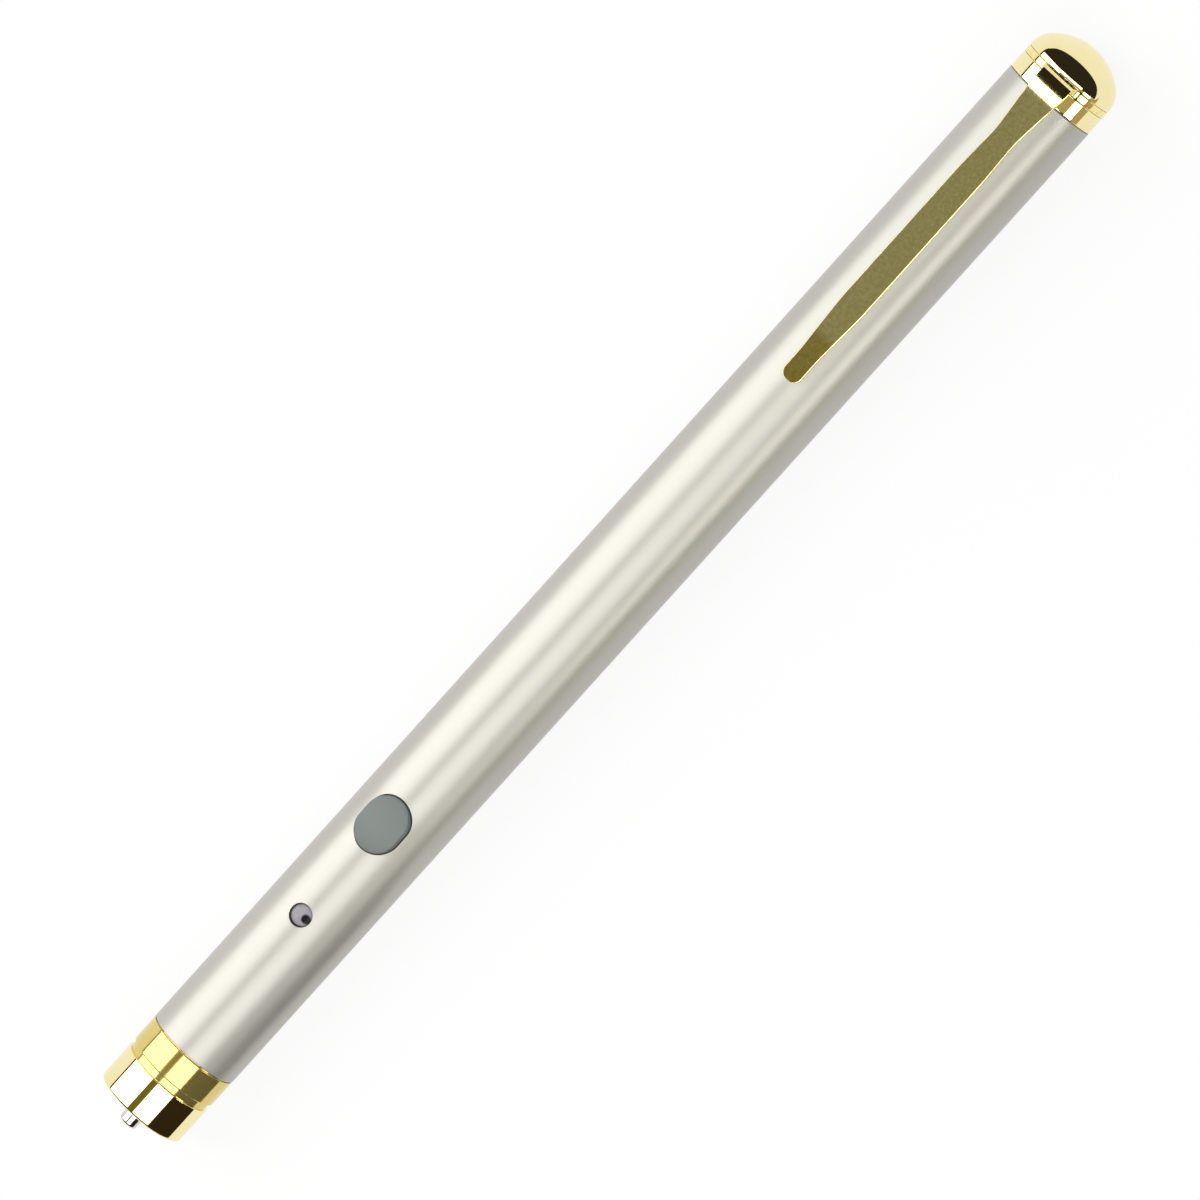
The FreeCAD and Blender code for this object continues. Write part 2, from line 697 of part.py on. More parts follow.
def pieces():
    yield "barrel", make_barrel()
    yield "front_nut", make_front_nut()
    yield "front_collar", make_front_collar()
    yield "ferrule", make_ferrule()
    yield "fibre_stub", make_fibre_stub()
    yield "power_button", make_power_button()
    yield "status_led", make_status_led()
    yield "module_housing", make_module_housing()
    yield "lens_holder", make_lens_holder()
    yield "focus_lens", make_focus_lens()
    yield "focus_spring", make_focus_spring()
    yield "laser_diode", make_laser_diode()
    yield "board_carrier", make_board_carrier()
    yield "circuit_board", make_circuit_board()
    yield "driver_chip", make_driver_chip()
    for number, place in enumerate(resistor_places, 1):
        yield f"chip_resistor_{number}", make_resistor(place)
    yield "chip_capacitor", make_capacitor()
    yield "ground_leaf", make_ground_leaf()
    yield "switch_body", make_switch_body()
    yield "switch_stem", make_switch_stem()
    yield "positive_contact", make_positive_contact()
    yield "battery_front", make_battery(cells_front)
    yield "battery_rear", make_battery(cells_front + cell_length + press_gap)
    yield "battery_spring", make_battery_spring()
    yield "spring_seat", make_spring_seat()
    yield "seat_retainer", make_seat_retainer()
    yield "tail_seal", make_tail_seal()
    yield "tail_plug", make_tail_plug()
    yield "clip", make_clip()
    yield "tail_dome", make_tail_dome()


os.makedirs("parts", exist_ok=True)
middle_station = (dome_back - ferrule_reach) / 2
for name, shape in pieces():
    shape.translate(Vector(-middle_station, 0, barrel_radius))
    shape.exportStep(f"parts/{name}.step")
    print(f"{name:18s} valid={shape.isValid()} solids={len(shape.Solids)} volume={shape.Volume:.2f}")
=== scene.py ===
import json
import math
import bmesh
import bpy
from mathutils import Matrix, Vector


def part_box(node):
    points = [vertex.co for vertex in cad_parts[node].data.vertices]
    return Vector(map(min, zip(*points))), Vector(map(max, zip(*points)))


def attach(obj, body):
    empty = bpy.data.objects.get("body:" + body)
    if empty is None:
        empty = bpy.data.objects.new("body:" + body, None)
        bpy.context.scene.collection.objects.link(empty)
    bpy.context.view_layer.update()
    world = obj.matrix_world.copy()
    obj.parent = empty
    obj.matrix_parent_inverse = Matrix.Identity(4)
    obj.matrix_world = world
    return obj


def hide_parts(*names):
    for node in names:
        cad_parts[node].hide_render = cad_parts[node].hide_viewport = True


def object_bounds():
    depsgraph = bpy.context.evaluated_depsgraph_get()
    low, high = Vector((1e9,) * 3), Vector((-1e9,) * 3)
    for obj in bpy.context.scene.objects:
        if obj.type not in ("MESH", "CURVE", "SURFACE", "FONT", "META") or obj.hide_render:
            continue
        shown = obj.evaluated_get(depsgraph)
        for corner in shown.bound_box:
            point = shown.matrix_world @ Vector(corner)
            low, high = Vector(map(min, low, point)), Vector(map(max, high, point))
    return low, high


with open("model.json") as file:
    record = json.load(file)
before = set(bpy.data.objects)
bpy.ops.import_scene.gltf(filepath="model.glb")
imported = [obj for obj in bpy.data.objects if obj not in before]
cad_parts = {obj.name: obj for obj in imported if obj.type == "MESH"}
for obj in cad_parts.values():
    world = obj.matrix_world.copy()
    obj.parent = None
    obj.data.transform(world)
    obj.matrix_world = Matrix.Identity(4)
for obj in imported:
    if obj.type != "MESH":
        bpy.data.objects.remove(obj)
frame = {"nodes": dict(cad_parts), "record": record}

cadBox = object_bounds()
mm = 0.001
weldGap = 1e-7  # points closer than this are one
barrelLow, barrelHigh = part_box("barrel")
penRadius = (barrelHigh.z - barrelLow.z) / 2
axisHeight = (barrelHigh.z + barrelLow.z) / 2
lampLow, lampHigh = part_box("status_led")
lampFlange = 1.9 * mm  # radius of the lamp's flange
lampMiddle = lampHigh.x - lampFlange
print("frame loaded:", len(frame["nodes"]), "nodes")


# Shapes that several pieces share

def roundedCorners(corners, arcSteps=5):  # (u, v, rounding) corners of a closed outline, in metres
    turns = []
    for before, here, after in zip(corners[-1:] + corners[:-1], corners, corners[1:] + corners[:1]):
        corner = Vector(here[:2])
        toBefore = (Vector(before[:2]) - corner).normalized()
        toAfter = (Vector(after[:2]) - corner).normalized()
        half = toBefore.angle(toAfter) / 2
        turns.append((corner, here[2], toBefore, toAfter, half, here[2] / math.tan(half)))
    points = []
    for before, here, after in zip(turns[-1:] + turns[:-1], turns, turns[1:] + turns[:1]):
        corner, rounding, toBefore, toAfter, half, reach = here
        if rounding == 0:
            points.append(corner)
            continue
        centre = corner + (toBefore + toAfter).normalized() * (rounding / math.sin(half))
        start = corner + toBefore * reach - centre
        end = corner + toAfter * reach - centre
        # a point on the straight at each side keeps the flat beside a rounding flat
        spare = [((other - corner).length - reach - itsReach) / 3 for other, *_, itsReach in (before, after)]
        points.append(corner + toBefore * (reach + min(rounding, spare[0])))
        for step in range(arcSteps + 1):
            points.append(centre + start.lerp(end, step / arcSteps).normalized() * rounding)
        points.append(corner + toAfter * (reach + min(rounding, spare[1])))
    return points


def addObject(name, data):
    made = bpy.data.objects.new(name, data)
    bpy.context.scene.collection.objects.link(made)
    return made


def finishMesh(name, bm, sharpDegrees=32):
    bmesh.ops.remove_doubles(bm, verts=bm.verts, dist=weldGap)
    bmesh.ops.recalc_face_normals(bm, faces=bm.faces)
    for face in bm.faces:
        face.smooth = True
    sharp = math.radians(sharpDegrees)
    for edge in bm.edges:
        edge.smooth = not (len(edge.link_faces) == 2 and edge.calc_face_angle(0) > sharp)
    mesh = bpy.data.meshes.new(name)
    bm.to_mesh(mesh)
    bm.free()
    return addObject(name, mesh)


def takeMeshes(*pieces):  # the pieces' meshes together, with the objects gone
    bm = bmesh.new()
    for piece in pieces:
        bm.from_mesh(piece.data)
        bpy.data.objects.remove(piece)
    return bm


def roundPen(along, out, turn):  # a place at an angle round the pen from +Z towards +Y
    return Vector((along, out * math.sin(turn), axisHeight + out * math.cos(turn)))


def spin(name, corners, steps=160, place=roundPen, arcSteps=5):  # turned, from (along, out, rounding) corners
    bm = bmesh.new()
    rings = []
    for along, out in roundedCorners(corners, arcSteps):
        if out < weldGap:
            rings.append([bm.verts.new(place(along, 0, 0))] * steps)
        else:
            turns = [2 * math.pi * step / steps for step in range(steps)]
            rings.append([bm.verts.new(place(along, out, turn)) for turn in turns])
    for ring, nextRing in zip(rings, rings[1:] + rings[:1]):
        if ring[0] == ring[1] and nextRing[0] == nextRing[1]:
            continue
        for step in range(steps):
            around = (step + 1) % steps
            loop = [ring[step], ring[around], nextRing[around], nextRing[step]]
            bm.faces.new(list(dict.fromkeys(loop)))
    return finishMesh(name, bm)


def obroundRing(halfStraight, radius, steps=24):  # points round an obround, long along the pen
    ring = []
    for side in (1, -1):
        for step in range(steps + 1):
            turn = math.pi * (step / steps - 0.5)
            ring.append((side * (halfStraight + radius * math.cos(turn)), side * radius * math.sin(turn)))
    return ring


def stackRings(name, rings):  # closed skin through rings of equal length
    bm = bmesh.new()
    made = [[bm.verts.new(point) for point in ring] for ring in rings]
    for low, high in zip(made, made[1:]):
        for index in range(len(low)):
            after = (index + 1) % len(low)
            bm.faces.new([low[index], low[after], high[after], high[index]])
    bm.faces.new(made[0][::-1])
    bm.faces.new(made[-1])
    return finishMesh(name, bm)


def plainCopy(piece, name):  # the evaluated shape as a plain mesh, with no modifier left
    made = bpy.data.meshes.new_from_object(piece.evaluated_get(bpy.context.evaluated_depsgraph_get()))
    made.name = name
    copy = addObject(name, made)
    bpy.data.objects.remove(piece)
    return copy


def cutWith(piece, cutters, name):
    for cutter in cutters:
        cut = piece.modifiers.new("cut", "BOOLEAN")
        cut.operation = "DIFFERENCE"
        cut.solver = "EXACT"
        cut.object = cutter
    made = plainCopy(piece, name)
    for cutter in cutters:
        bpy.data.objects.remove(cutter)
    return finishMesh(name, takeMeshes(made))


def dress(piece, body, slot, *nodes, material=None):  # with the slot's own finish unless one is given
    piece.data.materials.clear()
    piece.data.materials.append(material or finishes[slot])
    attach(piece, body)
    if nodes:
        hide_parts(*nodes)


# Finishes

def startMaterial(name, colour, metallic, roughness):
    material = bpy.data.materials.new(name)
    material.use_nodes = True
    tree = material.node_tree
    shader = tree.nodes["Principled BSDF"]
    shader.inputs["Base Color"].default_value = (*colour, 1)
    shader.inputs["Metallic"].default_value = metallic
    shader.inputs["Roughness"].default_value = roughness
    where = tree.nodes.new("ShaderNodeTexCoord")
    return material, tree, shader, where.outputs["Object"]


def stretched(tree, where, scale):
    mapping = tree.nodes.new("ShaderNodeMapping")
    mapping.inputs["Scale"].default_value = scale
    tree.links.new(where, mapping.inputs["Vector"])
    return mapping.outputs["Vector"]


def noise(tree, where, scale, detail=3.0):
    made = tree.nodes.new("ShaderNodeTexNoise")
    made.inputs["Scale"].default_value = scale
    made.inputs["Detail"].default_value = detail
    tree.links.new(where, made.inputs["Vector"])
    return made.outputs["Fac"]


def spread(tree, value, low, high, fromLow=0.3, fromHigh=0.7):  # noise value to a range
    made = tree.nodes.new("ShaderNodeMapRange")
    made.inputs["From Min"].default_value = fromLow
    made.inputs["From Max"].default_value = fromHigh
    made.inputs["To Min"].default_value = low
    made.inputs["To Max"].default_value = high
    tree.links.new(value, made.inputs["Value"])
    return made.outputs["Result"]


def tint(tree, value, colourLow, colourHigh):  # each colour is a tuple or another node's output
    made = tree.nodes.new("ShaderNodeMix")
    made.data_type = "RGBA"
    for socket, colour in (("A", colourLow), ("B", colourHigh)):
        if isinstance(colour, tuple):
            made.inputs[socket].default_value = (*colour, 1)
        else:
            tree.links.new(colour, made.inputs[socket])
    tree.links.new(value, made.inputs["Factor"])
    return made.outputs["Result"]


def bump(tree, shader, height, distance, strength):
    made = tree.nodes.new("ShaderNodeBump")
    made.inputs["Distance"].default_value = distance
    made.inputs["Strength"].default_value = strength
    tree.links.new(height, made.inputs["Height"])
    tree.links.new(made.outputs["Normal"], shader.inputs["Normal"])


def pearlCoat():
    coat = {"shade": (0.462, 0.451, 0.404), "light": (0.482, 0.471, 0.424), "metallic": 0.58,
            "plainRoughness": 0.3, "roughness": (0.36, 0.40), "cloudStretch": (30, 90, 90),
            "cloudRange": (0.1, 0.9), "flakeScale": 9000, "flakeDepth": 4e-6, "flakeStrength": 0.35}
    material, tree, shader, where = startMaterial("pearlCoat", coat["shade"], coat["metallic"],
                                                  coat["plainRoughness"])
    flakes = noise(tree, where, coat["flakeScale"], 2.0)
    cloud = noise(tree, stretched(tree, where, coat["cloudStretch"]), 1.0, 1.0)
    shade = tint(tree, spread(tree, cloud, 0, 1, *coat["cloudRange"]), coat["shade"], coat["light"])
    roughness = spread(tree, cloud, *coat["roughness"], *coat["cloudRange"])
    tree.links.new(shade, shader.inputs["Base Color"])
    tree.links.new(roughness, shader.inputs["Roughness"])
    bump(tree, shader, flakes, coat["flakeDepth"], coat["flakeStrength"])
    return material


def goldPlate(name="goldPlate", colour=(0.92, 0.82, 0.46), roughLow=0.03, roughHigh=0.06, metallic=1.0,
              mottle=0.05, mottleScale=260):
    gold = {"lathe": (14000, 300, 300), "latheDepth": 1.2e-6, "latheStrength": 0.25,
            "mottleTint": (0.8, 1.0, 1.6)}  # a mottled place loses more blue than red
    material, tree, shader, where = startMaterial(name, colour, metallic, roughLow)
    lathe = noise(tree, stretched(tree, where, gold["lathe"]), 1.0, 2.0)  # faint turning lines round the pen
    smudge = noise(tree, where, mottleScale, 4.0)
    deeper = tuple(part * (1 - mottle * loss) for part, loss in zip(colour, gold["mottleTint"]))
    tree.links.new(tint(tree, spread(tree, smudge, 0, 1), deeper, colour), shader.inputs["Base Color"])
    tree.links.new(spread(tree, smudge, roughLow, roughHigh), shader.inputs["Roughness"])
    bump(tree, shader, lathe, gold["latheDepth"], gold["latheStrength"])
    return material


def mouldedPlastic(name, colour, roughLow, roughHigh, grain=2600, depth=8e-6):
    plastic = {"patchScale": 180, "paler": 1.12, "lift": 0.004, "grainStrength": 0.4}
    material, tree, shader, where = startMaterial(name, colour, 0.0, roughLow)
    pores = noise(tree, where, grain)
    patches = noise(tree, where, plastic["patchScale"])
    paler = tuple(min(1, part * plastic["paler"] + plastic["lift"]) for part in colour)
    tree.links.new(tint(tree, spread(tree, patches, 0, 1), colour, paler), shader.inputs["Base Color"])
    tree.links.new(spread(tree, pores, roughLow, roughHigh), shader.inputs["Roughness"])
    bump(tree, shader, pores, depth, plastic["grainStrength"])
    return material


def turnedMetal(name, colour, roughLow, roughHigh, lines=(9000, 300, 300)):
    metal = {"stainScale": 220, "darker": 0.82, "cutDepth": 3e-6, "cutStrength": 0.5}
    material, tree, shader, where = startMaterial(name, colour, 1.0, roughLow)
    cuts = noise(tree, stretched(tree, where, lines), 1.0)
    stain = noise(tree, where, metal["stainScale"], 4.0)
    darker = tuple(part * metal["darker"] for part in colour)
    tree.links.new(tint(tree, spread(tree, stain, 0, 1), darker, colour), shader.inputs["Base Color"])
    tree.links.new(spread(tree, cuts, roughLow, roughHigh), shader.inputs["Roughness"])
    bump(tree, shader, cuts, metal["cutDepth"], metal["cutStrength"])
    return material


def clearGlass():
    glass = {"colour": (0.95, 0.97, 0.97), "plainRoughness": 0.02, "roughness": (0.01, 0.04),
             "wipeScale": 900, "refraction": 1.52}
    material, tree, shader, where = startMaterial("clearGlass", glass["colour"], 0.0, glass["plainRoughness"])
    shader.inputs["Transmission Weight"].default_value = 1.0
    shader.inputs["IOR"].default_value = glass["refraction"]
    wipes = noise(tree, where, glass["wipeScale"], 2.0)
    tree.links.new(spread(tree, wipes, *glass["roughness"]), shader.inputs["Roughness"])
    return material


def lampResin():
    resin = {"colour": (0.36, 0.35, 0.38), "darker": 0.85, "swirlScale": 1400, "plainRoughness": 0.2,
             "roughness": (0.16, 0.24), "shine": 0.15, "glow": 0.75, "glowDepth": 0.7 * mm,
             # the next entries paint a near-black spot into the resin's colour on one side of the lamp
             "darkSpot": (0.008, 0.008, 0.010), "spotAside": -0.75 * mm, "spotDepth": 0.3 * mm,
             "spotRadius": 0.55 * mm, "spotFade": 1.35}
    material, tree, shader, where = startMaterial("lampResin", resin["colour"], 0.0, resin["plainRoughness"])
    shader.inputs["Specular IOR Level"].default_value = resin["shine"]
    shader.inputs["Subsurface Weight"].default_value = resin["glow"]
    shader.inputs["Subsurface Radius"].default_value = (1, 1, 1)
    shader.inputs["Subsurface Scale"].default_value = resin["glowDepth"]
    swirl = noise(tree, where, resin["swirlScale"], 2.0)
    darker = tuple(part * resin["darker"] for part in resin["colour"])
    clear = tint(tree, spread(tree, swirl, 0, 1), darker, resin["colour"])
    away = tree.nodes.new("ShaderNodeVectorMath")  # a near-black spot is painted into the resin's colour on one side, fixed in the lamp's own coordinates
    away.operation = "DISTANCE"
    away.inputs[1].default_value = (lampMiddle, resin["spotAside"], lampHigh.z - resin["spotDepth"])
    tree.links.new(where, away.inputs[0])
    spotEdge = (resin["spotRadius"], resin["spotRadius"] * resin["spotFade"])
    shade = spread(tree, away.outputs["Value"], 0, 1, *spotEdge)
    tree.links.new(tint(tree, shade, resin["darkSpot"], clear), shader.inputs["Base Color"])
    tree.links.new(spread(tree, swirl, *resin["roughness"]), shader.inputs["Roughness"])
    return material


finishes = {  # by slot, with a colour and the lowest and highest roughness
    "pearl_barrel": pearlCoat(),
    "gold_plate": goldPlate(),
    "grey_button": mouldedPlastic("buttonPlastic", (0.150, 0.170, 0.155), 0.42, 0.55),
    "lamp_resin": lampResin(),
    "plain_brass": turnedMetal("plainBrass", (0.76, 0.60, 0.32), 0.18, 0.32),
    "lens_glass": clearGlass(),
    "spring_steel": turnedMetal("springSteel", (0.62, 0.62, 0.60), 0.2, 0.34, (2500, 2500, 2500)),
    "plated_can": turnedMetal("platedCan", (0.86, 0.72, 0.42), 0.12, 0.22),
    "black_plastic": mouldedPlastic("blackPlastic", (0.030, 0.030, 0.034), 0.35, 0.5),
    "board_laminate": mouldedPlastic("boardLaminate", (0.03, 0.16, 0.07), 0.25, 0.4, 1800, 5e-6),
    "chip_resin": mouldedPlastic("chipResin", (0.04, 0.04, 0.042), 0.45, 0.6, 5000, 4e-6),
    "chip_ceramic": mouldedPlastic("chipCeramic", (0.10, 0.10, 0.11), 0.2, 0.35, 4000, 2e-6),
    "capacitor_resin": mouldedPlastic("capacitorResin", (0.72, 0.48, 0.09), 0.3, 0.45),
    "cell_jacket": turnedMetal("cellJacket", (0.15, 0.16, 0.18), 0.25, 0.38, (200, 900, 900)),
    "seal_rubber": mouldedPlastic("sealRubber", (0.022, 0.022, 0.022), 0.5, 0.65, 3500, 6e-6),
}
collarGold = goldPlate("collarGold", (0.72, 0.58, 0.19), 0.08, 0.12, metallic=0.82)
clipGold = goldPlate("clipGold", (0.98, 0.87, 0.42), 0.04, 0.07, mottle=0.22, mottleScale=2600)
steelStub = turnedMetal("stubSteel", (0.80, 0.76, 0.66), 0.08, 0.14, (9000, 200, 200))
print("finishes made:", len(finishes) + len((collarGold, clipGold, steelStub)))


# Barrel: one drawn tube with a slot for the button and a round hole for the lamp

barrel = {"wall": 0.8 * mm, "edge": 0.12 * mm, "loopGap": 3.0 * mm,
          "slotLong": 8.0 * mm, "slotWide": 6.2 * mm, "lampHole": 1.53 * mm}
buttonLow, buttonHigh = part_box("power_button")
buttonMiddle = (buttonLow.x + buttonHigh.x) / 2


def makeCutter(name, middle, halfStraight, radius):  # from the pen's axis to well clear of its top
    levels = (axisHeight, axisHeight + 2 * penRadius)
    outline = obroundRing(halfStraight, radius)
    return stackRings(name, [[(middle + x, y, level) for x, y in outline] for level in levels])


def makeBarrel():
    start, end = barrelLow.x, barrelHigh.x
    loops = int((end - start) / barrel["loopGap"])
    outside = [(start + (end - start) * step / loops, penRadius, 0) for step in range(1, loops)]
    bore = penRadius - barrel["wall"]
    corners = [(start, bore, 0), (start, penRadius, barrel["edge"]), *outside,
               (end, penRadius, barrel["edge"]), (end, bore, 0)]
    tube = spin("barrelTube", corners, steps=192)
    slotRadius = barrel["slotWide"] / 2
    slot = makeCutter("slotCutter", buttonMiddle, barrel["slotLong"] / 2 - slotRadius, slotRadius)
    hole = makeCutter("holeCutter", lampMiddle, 0, barrel["lampHole"])
    return cutWith(tube, [slot, hole], "barrelShell")


dress(makeBarrel(), "barrel_body", "pearl_barrel", "barrel")
print("barrel made")


# Gold front end

front = {"edge": 0.12 * mm, "gap": 0.02 * mm, "nutEdge": 0.4 * mm, "nutWall": 1.2 * mm, "nutGap": 0.05 * mm,
         "mouthEdge": 0.08 * mm, "groove": 1.0 * mm, "grooveDepth": 0.3 * mm, "grooveRound": 0.1 * mm,
         "neck": 4.9 * mm, "seam": 0.12 * mm, "pocket": 4.22 * mm, "seat": 1.04 * mm, "lightPath": 1.5 * mm,
         "sleeve": 1.7 * mm, "stub": 1.25 * mm, "stubLead": 0.35 * mm, "core": 0.0825 * mm,
         "shelf": 0.05 * mm, "shelfEdge": 0.04 * mm, "flange": 3.2 * mm, "flangeLong": 1.3 * mm}
nutLow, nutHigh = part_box("front_nut")
collarLow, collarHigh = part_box("front_collar")
stubLow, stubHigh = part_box("ferrule")


def makeNut():
    hole, cavity = front["sleeve"] + front["nutGap"], front["neck"] + front["gap"]
    floor = nutLow.x + front["nutWall"]
    return spin("nutShell", [(nutLow.x, hole, front["mouthEdge"]), (nutLow.x, penRadius, front["nutEdge"]),
                             (nutHigh.x, penRadius, front["edge"]), (nutHigh.x, cavity, 0),
                             (floor, cavity, 0), (floor, hole, 0)], arcSteps=12)


def makeCollar():
    land, step = nutHigh.x + front["groove"], barrelLow.x
    seam = step - front["seam"]
    floor, spigot = penRadius - front["grooveDepth"], penRadius - barrel["wall"] - front["gap"]
    bore, pocket, lightPath = front["sleeve"] + front["gap"], front["pocket"], front["lightPath"]
    seat, behind = barrelLow.x - front["seat"], stubHigh.x + front["gap"]
    return spin("collarShell", [(collarLow.x, bore, 0), (collarLow.x, front["neck"], front["edge"]),
                                (nutHigh.x, front["neck"], 0), (nutHigh.x, floor, 0),
                                (land, floor, front["grooveRound"]), (land, penRadius, front["edge"]),
                                (seam, penRadius, front["edge"]), (seam, floor, 0), (step, floor, 0),
                                (step, spigot, 0), (collarHigh.x, spigot, 0), (collarHigh.x, pocket, 0),
                                (seat, pocket, 0), (seat, lightPath, 0), (behind, lightPath, 0),
                                (behind, bore, 0)])


def makeStub():
    shelf = nutLow.x - front["shelf"]
    flange = nutLow.x + front["nutWall"] + front["gap"]
    flangeEnd = flange + front["flangeLong"]
    return spin("ferruleStub", [(stubLow.x, front["core"], 0), (stubLow.x, front["stub"], front["stubLead"]),
                                (shelf, front["stub"], 0), (shelf, front["sleeve"], front["shelfEdge"]),
                                (flange, front["sleeve"], 0), (flange, front["flange"], 0),
                                (flangeEnd, front["flange"], 0), (flangeEnd, front["sleeve"], 0),
                                (stubHigh.x, front["sleeve"], 0), (stubHigh.x, front["core"], 0)], steps=96)


dress(makeNut(), "barrel_body", "gold_plate", "front_nut")
dress(makeCollar(), "barrel_body", "gold_plate", "front_collar", material=collarGold)
dress(makeStub(), "barrel_body", "gold_plate", "ferrule", material=steelStub)
print("front end made")


# Button: crowned cap on a hidden skirt

button = {"long": 7.7 * mm, "wide": 5.9 * mm, "skirt": 0.8 * mm, "edge": 0.2 * mm, "crown": 18 * mm,
          "neckDrop": 0.1 * mm, "edgeSteps": 6, "rings": 7, "leastRing": 1e-6}


def makeButton():
    top = buttonHigh.z
    neck = penRadius - barrel["wall"] - button["neckDrop"]
    straight, radius = (button["long"] - button["wide"]) / 2, button["wide"] / 2

    def crown(x):
        return top - button["crown"] + math.sqrt(button["crown"] ** 2 - x ** 2)

    def ring(inset, sink):
        outline = obroundRing(straight, max(radius - inset, button["leastRing"]))
        return [(buttonMiddle + x, y, crown(x) - sink) for x, y in outline]

    def skirtRing(grow, level):  # kept inside the barrel's bore
        outline = obroundRing(straight, radius + grow)
        return [(buttonMiddle + x, y, min(level, axisHeight + math.sqrt(neck ** 2 - y ** 2)))
                for x, y in outline]

    skirt, shoulder = button["skirt"], axisHeight + neck
    rings = [skirtRing(skirt, buttonLow.z), skirtRing(skirt, shoulder), skirtRing(0, shoulder)]
    for step in range(button["edgeSteps"] + 1):
        turn = math.pi / 2 * step / button["edgeSteps"]
        rings.append(ring(button["edge"] * (1 - math.cos(turn)), button["edge"] * (1 - math.sin(turn))))
    for step in range(1, button["rings"] + 1):
        share = step / button["rings"]
        rings.append(ring(button["edge"] + (radius - button["edge"]) * share, 0))
    return stackRings("buttonCap", rings)


dress(makeButton(), "button", "grey_button", "power_button")
print("button made")


# Lamp: clear dome with a flange, set just below the barrel's surface

lamp = {"radius": 1.5 * mm, "flangeHigh": 1.0 * mm, "flangeEdge": 0.1 * mm, "body": 5.35 * mm,
        "lead": 0.45 * mm, "leadApart": 1.27 * mm, "domeSteps": 12, "fuller": 0.4}  # 1 would be a half ball


def makeLamp():
    top = lampHigh.z
    low = top - lamp["body"]
    ledge = low + lamp["flangeHigh"]

    def upright(along, out, turn):
        return Vector((lampMiddle + out * math.sin(turn), out * math.cos(turn), along))

    dome = []
    for step in range(lamp["domeSteps"]):
        turn = math.pi / 2 * step / lamp["domeSteps"]
        dome.append((top - lamp["radius"] * (1 - math.sin(turn) ** lamp["fuller"]),
                     lamp["radius"] * math.cos(turn) ** lamp["fuller"], 0))
    corners = [(low, 0, 0), (low, lampFlange, lamp["flangeEdge"]), (ledge, lampFlange, lamp["flangeEdge"]),
               (ledge, lamp["radius"], 0), *dome, (top, 0, 0)]
    bm = takeMeshes(spin("lampTurned", corners, steps=64, place=upright))
    for vert in bm.verts:
        vert.co.x = max(vert.co.x, lampLow.x)  # the flange's flat side
    for side in (-1, 1):
        made = bmesh.ops.create_cube(bm, size=1)["verts"]
        size = Vector((lamp["lead"], lamp["lead"], low - lampLow.z))
        middle = Vector((lampMiddle + side * lamp["leadApart"], 0, (low + lampLow.z) / 2))
        for vert in made:
            vert.co = middle + vert.co * size
    return finishMesh("lampDome", bm)


dress(makeLamp(), "barrel_body", "lamp_resin", "status_led")
print("lamp made")


# Coils by Geometry Nodes: both springs, and the ridge of the tail plug's thread

def coilTree():
    tree = bpy.data.node_groups.new("coilMaker", "GeometryNodeTree")
    tree.interface.new_socket("Geometry", in_out="OUTPUT", socket_type="NodeSocketGeometry")
    for name in ("Turns", "Radius", "Length", "Wire", "Start", "Height"):
        tree.interface.new_socket(name, in_out="INPUT", socket_type="NodeSocketFloat")
    for name in ("Steps", "Sides"):
        tree.interface.new_socket(name, in_out="INPUT", socket_type="NodeSocketInt")
    tree.interface.new_socket("Finish", in_out="INPUT", socket_type="NodeSocketMaterial")
    given = tree.nodes.new("NodeGroupInput").outputs
    spiral = tree.nodes.new("GeometryNodeCurveSpiral")
    tree.links.new(given["Turns"], spiral.inputs["Rotations"])
    tree.links.new(given["Steps"], spiral.inputs["Resolution"])
    tree.links.new(given["Radius"], spiral.inputs["Start Radius"])
    tree.links.new(given["Radius"], spiral.inputs["End Radius"])
    tree.links.new(given["Length"], spiral.inputs["Height"])
    section = tree.nodes.new("GeometryNodeCurvePrimitiveCircle")
    tree.links.new(given["Sides"], section.inputs["Resolution"])
    tree.links.new(given["Wire"], section.inputs["Radius"])
    sweep = tree.nodes.new("GeometryNodeCurveToMesh")
    sweep.inputs["Fill Caps"].default_value = True
    tree.links.new(spiral.outputs["Curve"], sweep.inputs["Curve"])
    tree.links.new(section.outputs["Curve"], sweep.inputs["Profile Curve"])
    place = tree.nodes.new("ShaderNodeCombineXYZ")
    tree.links.new(given["Start"], place.inputs["X"])
    tree.links.new(given["Height"], place.inputs["Z"])
    lay = tree.nodes.new("GeometryNodeTransform")  # from upright to along the pen
    lay.inputs["Rotation"].default_value = (0, math.pi / 2, 0)
    tree.links.new(sweep.outputs["Mesh"], lay.inputs["Geometry"])
    tree.links.new(place.outputs["Vector"], lay.inputs["Translation"])
    real = tree.nodes.new("GeometryNodeRealizeInstances")
    tree.links.new(lay.outputs["Geometry"], real.inputs["Geometry"])
    paint = tree.nodes.new("GeometryNodeSetMaterial")
    tree.links.new(real.outputs["Geometry"], paint.inputs["Geometry"])
    tree.links.new(given["Finish"], paint.inputs["Material"])
    out = tree.nodes.new("NodeGroupOutput")
    tree.links.new(paint.outputs["Geometry"], out.inputs["Geometry"])
    return tree


coilMaker = coilTree()


def makeCoil(name, sizes, material):
    holder = addObject(name + "Maker", bpy.data.meshes.new(name))
    modifier = holder.modifiers.new("coil", "NODES")
    modifier.node_group = coilMaker
    for item in coilMaker.interface.items_tree:
        if item.in_out == "INPUT":
            modifier[item.identifier] = material if item.name == "Finish" else sizes[item.name]
    return finishMesh(name, takeMeshes(plainCopy(holder, name)), sharpDegrees=50)


springs = {"batteryTurns": 6.0, "batteryWire": 0.35 * mm, "focusTurns": 4.0, "focusWire": 0.175 * mm,
           "steps": 48, "sides": 12}  # steps in a turn, sides of the wire


